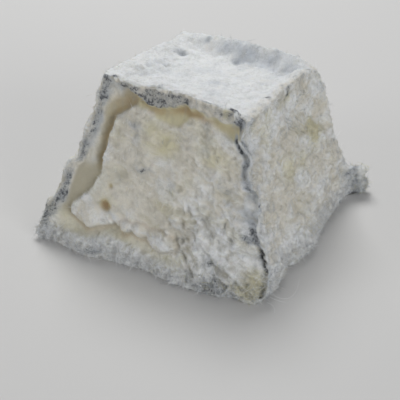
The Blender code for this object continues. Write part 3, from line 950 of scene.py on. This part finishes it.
down = {
    "seed": 11,
    "tints": {
        "mould_white": (0.85, 0.86, 0.86, 1),
        "mould_cream": (0.71, 0.685, 0.61, 1),
        "mould_yellow": (0.66, 0.63, 0.44, 1),
        "mould_grey": (0.46, 0.49, 0.52, 1),
        "mould_ash": (0.08, 0.085, 0.095, 1),
    },
    "radius": 0.05,
    "rootDepth": 0.12,
    "clearance": 0.05,  # above the table
    "curl": 0.45,  # how far the strands bend, as a share of their length, and at most
    "mostCurl": 0.8,
    # Number of needles, their length in millimetres and how far they stand up.
    "patches": {
        "mould_front": (16000, 0.6, 0.6),
        "mould_right": (26000, 0.6, 0.6),
        "mould_back": (22000, 0.6, 0.6),
        "mould_left": (22000, 0.6, 0.6),
        "mould_top": (12000, 0.45, 0.4),
        "mould_foot": (18000, 0.85, 0.8),
    },
    "wisps": {
        "radius": 0.07,
        "patches": {"mould_wisps": (18000, 2, 0.3)},
    },
}


def looseShape(bent):
    # One strand a unit long: a closed three-sided needle, or one with a wider ring halfway that
    # can bend.
    deselectAll()
    bpy.ops.mesh.primitive_cone_add(vertices=3, radius1=1, depth=1, location=(0, 0, 0.5))
    strand = bpy.context.active_object
    bpy.ops.object.transform_apply(location=True, rotation=True, scale=True)
    if bent:
        editAll()
        bpy.ops.mesh.bisect(plane_co=(0, 0, 0.5), plane_no=(0, 0, 1))
        bpy.ops.mesh.select_all(action="SELECT")
        bpy.ops.mesh.quads_convert_to_tris()
        bpy.ops.object.mode_set(mode="OBJECT")
    places = vertexPlaces(strand.data)
    halfway = np.abs(places[:, 2] - 0.5) < 0.01
    places[halfway, :2] *= 1.6
    triangles = np.array([list(face.vertices) for face in strand.data.polygons])
    bpy.data.objects.remove(strand, do_unlink=True)
    return places, triangles


def surfaceTriangles(piece):
    mesh = piece.data
    mesh.calc_loop_triangles()
    corners = readAll(mesh.loop_triangles, "vertices", 3, int)
    places = vertexPlaces(mesh)
    first, second, third = places[corners].transpose(1, 0, 2)
    area = 0.5 * np.linalg.norm(np.cross(second - first, third - first), axis=1)
    return corners, places, vertexNormals(mesh), area


def patchWeights(name, normals, height):
    # Which part of the surface each patch of down grows on. The first five have a face each.
    sides = {patch: face[1] * normals[:, face[0]] for patch, face in zip(down["patches"], faces)}
    standing = normals[:, 2] > -0.3
    if name == "mould_foot":
        return fall(height / mm, 9, 6) * standing
    if name == "mould_wisps":
        return (0.15 + fall(height / mm, 12, 9)) * standing * (normals[:, 2] < 0.8)
    others = np.max([values for patch, values in sides.items() if patch != name], axis=0)
    return smoothStep((sides[name] - others) / 0.3) * standing


def meshOf(name, places, triangles):
    mesh = bpy.data.meshes.new(name)
    mesh.vertices.add(len(places))
    mesh.vertices.foreach_set("co", places.ravel())
    mesh.loops.add(triangles.size)
    mesh.loops.foreach_set("vertex_index", triangles.ravel())
    mesh.polygons.add(len(triangles))
    mesh.polygons.foreach_set("loop_start", np.arange(0, triangles.size, 3))
    mesh.update(calc_edges=True)
    mesh.validate()
    return mesh


def addObject(name, data):
    made = bpy.data.objects.new(name, data)
    bpy.context.scene.collection.objects.link(made)
    return made


def chooseTints(rng, root, masks, chosen):
    # White mould mostly, creamier on the plain rind, and grey to black where the ash lies.
    level = {name: np.clip(values[chosen].mean(1), 0, 1) for name, values in masks.items()}
    mottled = 0.35 * grain(root / mm, 2.4, 50)
    ash = np.clip(level["ash"] + mottled - 0.12, 0, 1)
    tint = np.full(len(root), 1)
    for number, share in (
        (0, np.clip(0.35 + 0.6 * level["white"] + mottled, 0, 1)),
        (2, 0.6 * level["yellow"] + 0.4 * level["tan"]),
        (3, 0.03 + 0.45 * ash + 0.4 * level["blue"]),
        (4, 0.75 * np.clip(ash - 0.3, 0, 1)),
    ):
        tint = np.where(rng.random(len(root)) < share, number, tint)
    return tint


def growDown(name, settings, surface, strand, materials, masks, radiusMean, darkest):
    corners, places, normals, area = surface
    count, length, lift = settings
    rng = np.random.default_rng(down["seed"] + count)
    middle = normals[corners].mean(1)
    height = places[corners].mean(1)[:, 2]
    crowns = 1 - 0.75 * masks["hollow"][corners].mean(1)
    weight = area * patchWeights(name, middle, height) * masks["downy"][corners].mean(1) * crowns
    weight[height < 1e-6] = 0
    chosen = corners[rng.choice(len(area), count, p=weight / weight.sum())]
    share = rng.random((count, 2))
    over = share.sum(1) > 1
    share[over] = 1 - share[over]
    mix = np.stack((1 - share.sum(1), share[:, 0], share[:, 1]), 1)[:, :, None]
    root = (places[chosen] * mix).sum(1)
    normal = unit((normals[chosen] * mix).sum(1))
    # Strands lie any way along the surface and stand up a little.
    loose = rng.normal(size=(count, 3))
    flat = unit(loose - (loose * normal).sum(1)[:, None] * normal)
    heading = unit(flat + lift * (0.3 + 1.4 * rng.random(count))[:, None] * normal)
    curl = rng.normal(scale=down["curl"], size=(count, 3))
    curl = np.clip(curl, -down["mostCurl"], down["mostCurl"])
    reach = length * mm * (0.5 + 0.9 * rng.random(count))
    across = unit(np.cross(heading, normal))
    upright = np.cross(across, heading)
    radius = radiusMean * mm * (0.7 + 0.6 * rng.random(count))
    shape, triangles = strand
    ring = shape[None, :, 0, None] * across[:, None] + shape[None, :, 1, None] * upright[:, None]
    along = shape[None, :, 2, None]
    points = root[:, None] - down["rootDepth"] * mm * normal[:, None] + ring * radius[:, None, None]
    points += reach[:, None, None] * (along * heading[:, None] + along**2 * curl[:, None])
    points[:, :, 2] = np.maximum(points[:, :, 2], down["clearance"] * mm)
    first = np.arange(count)[:, None, None] * len(shape)
    mesh = meshOf(name, points.reshape(-1, 3), (triangles[None] + first).reshape(-1, 3))
    mesh.shade_smooth()
    for material in materials:
        mesh.materials.append(material)
    tint = np.minimum(chooseTints(rng, root, masks, chosen), darkest)
    mesh.polygons.foreach_set("material_index", np.repeat(tint, len(triangles)))
    return addObject(name, mesh)


# Long loose hairs of mould at the near base corner: start, bend and end.
hairs = {
    "radius": 0.05,
    "steps": 10,
    "paths": (
        ((42, -36.5, 2), (49, -36.5, 0.6), (48, -32.5, 7.5)),
        ((41.5, -38.5, 2.5), (45.5, -40, 3), (46, -36.5, 1)),
        ((41, -39.5, 1), (44.5, -41, 2.4), (45, -42.5, 0.4)),
    ),
}


def makeHairs(material):
    curve = bpy.data.curves.new("mould_hairs", "CURVE")
    curve.dimensions = "3D"
    curve.bevel_depth = hairs["radius"] * mm
    curve.bevel_resolution = 1
    curve.use_fill_caps = True
    last = hairs["steps"] - 1
    for path in hairs["paths"]:
        start, bend, end = np.array(path)
        line = curve.splines.new("POLY")
        line.points.add(last)
        for i, point in enumerate(line.points):
            t = i / last
            middle = start * (1 - t) ** 2 + 2 * t * (1 - t) * bend + t * t * end
            point.co = (*(middle * mm), 1)
            point.radius = 1 - 0.6 * t
    useAlone(addObject("mould_hairs", curve))
    bpy.ops.object.convert(target="MESH")
    piece = bpy.context.active_object
    piece.data.materials.clear()
    piece.data.materials.append(material)
    return piece


def finishPiece(piece):
    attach(piece, "root")
    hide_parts("goat_cheese")
    print("made", piece.name, len(piece.data.polygons), "faces")


body = makeRind()
body.data.materials.clear()
body.data.materials.append(rindMaterial())
finishPiece(body)

surface = surfaceTriangles(body)
bodyMasks = {name: readAll(body.data.attributes[name].data, "value") for name in maskNames}
tints = [downMaterial(name, colour) for name, colour in down["tints"].items()]
# The down in all tints, and the wisps in all but the ash.
for settings, bent, darkest in ((down, False, 4), (down["wisps"], True, 3)):
    strand = looseShape(bent)
    for name, patch in settings["patches"].items():
        finishPiece(growDown(name, patch, surface, strand, tints, bodyMasks, settings["radius"], darkest))
finishPiece(makeHairs(tints[0]))

stage = {"size": 6, "colour": (0.6, 0.595, 0.585, 1), "roughness": 0.7}


def makeFloor():
    deselectAll()
    bpy.ops.mesh.primitive_plane_add(size=stage["size"], location=(0, 0, 0))
    floor = bpy.context.active_object
    floor.name = "floor"
    tree = Tree("pale_table")
    tree.shade({"Base Color": stage["colour"], "Roughness": stage["roughness"]})
    floor.data.materials.append(tree.material)


# Where the photograph was taken from, in metres, with degrees for the roll.
view = {
    "place": (0.15007, -0.28998, 0.1865),
    "target": (0.00068, -0.00647, 0.00863),
    "roll": 1,
    "lens": 100,
    "sensor": 36,
}

# Place and size in metres, and power in watts.
lights = {
    "sky": ((-0.35, 0.5, 0.85), 0.45, 7.2),
    "window": ((-0.65, -0.85, 0.28), 0.5, 2.7),
    "fill": ((0.9, -0.45, 0.3), 0.6, 4.2),
}
surroundings = {"colour": (0.80, 0.82, 0.85, 1), "strength": 0.3}


def makeCamera():
    lens = bpy.data.cameras.new("camera")
    lens.lens = view["lens"]
    lens.sensor_width = view["sensor"]
    camera = addObject("camera", lens)
    camera.location = view["place"]
    aim = (Vector(view["target"]) - camera.location).to_track_quat("-Z", "Y")
    roll = Quaternion((0, 0, 1), math.radians(view["roll"]))
    camera.rotation_euler = (aim @ roll).to_euler()
    bpy.context.scene.camera = camera


def makeLights():
    for name, (place, size, power) in lights.items():
        lamp = bpy.data.lights.new(name, "AREA")
        lamp.size = size
        lamp.energy = power
        holder = addObject(name, lamp)
        holder.location = place
        holder.rotation_euler = (-Vector(place)).to_track_quat("-Z", "Y").to_euler()
    world = bpy.data.worlds.new("room")
    world.use_nodes = True
    background = world.node_tree.nodes["Background"]
    background.inputs["Color"].default_value = surroundings["colour"]
    background.inputs["Strength"].default_value = surroundings["strength"]
    bpy.context.scene.world = world


makeFloor()
makeCamera()
makeLights()
bpy.context.scene.view_settings.view_transform = "Standard"
print("stage, camera and lights are in place")
